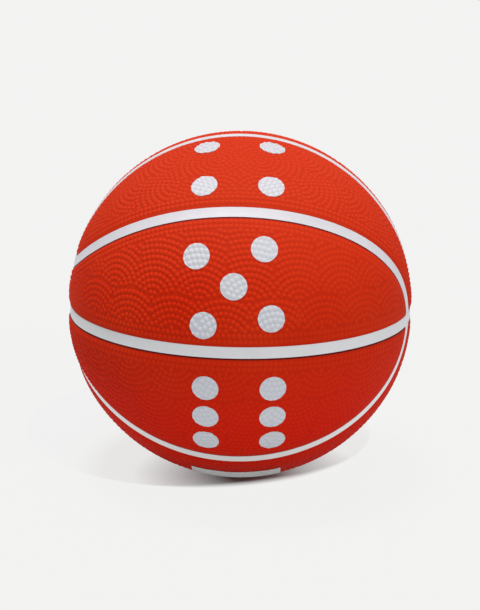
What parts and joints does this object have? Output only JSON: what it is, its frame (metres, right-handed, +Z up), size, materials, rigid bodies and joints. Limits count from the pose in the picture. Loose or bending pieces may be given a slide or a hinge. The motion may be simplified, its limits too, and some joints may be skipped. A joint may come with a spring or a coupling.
{
  "type": "mini basketball",
  "caption": "Inflatable mini basketball: pebbled red rubber panels, recessed white seams and white die pips, over a carcass, bladder and needle valve.",
  "frame": {"origin": "centre of the ball", "axes": "+Z up, square to the belt seam; +X to the right, along the line through the two crossings of belt and crown; -Y to the front; the valve faces +Y"},
  "size_m": [0.1764, 0.1769, 0.177],
  "materials": {
    "cover_red": "satin",
    "seam_white": "satin",
    "pip_white": "satin",
    "label_paper": "matte",
    "carcass_black": "matte",
    "winding_thread": "matte",
    "bladder_black": "matte",
    "valve_dark": "matte",
    "valve_core_black": "matte"
  },
  "bodies": {
    "root": {"bladder": "bladder_black", "carcass": "carcass_black", "label": "label_paper", "panel_back_lower": "cover_red", "panel_back_upper": "cover_red", "panel_front_lower": "cover_red", "panel_front_upper": "cover_red", "panel_top_back": "cover_red", "panel_top_front": "cover_red", "panel_under_back": "cover_red", "panel_under_front": "cover_red", "pip_five_1": "pip_white", "pip_five_2": "pip_white", "pip_five_3": "pip_white", "pip_five_4": "pip_white", "pip_five_5": "pip_white", "pip_four_1": "pip_white", "pip_four_2": "pip_white", "pip_four_3": "pip_white", "pip_four_4": "pip_white", "pip_one_1": "pip_white", "pip_six_1": "pip_white", "pip_six_2": "pip_white", "pip_six_3": "pip_white", "pip_six_4": "pip_white", "pip_six_5": "pip_white", "pip_six_6": "pip_white", "pip_three_1": "pip_white", "pip_three_2": "pip_white", "pip_three_3": "pip_white", "pip_two_1": "pip_white", "pip_two_2": "pip_white", "strip_back_lower": "seam_white", "strip_back_upper": "seam_white", "strip_belt": "seam_white", "strip_crown_lower": "seam_white", "strip_crown_upper": "seam_white", "strip_front_lower": "seam_white", "strip_front_upper": "seam_white", "valve_boot": "valve_dark", "valve_core": "valve_core_black", "winding": "winding_thread"}
  },
  "joints": []
}
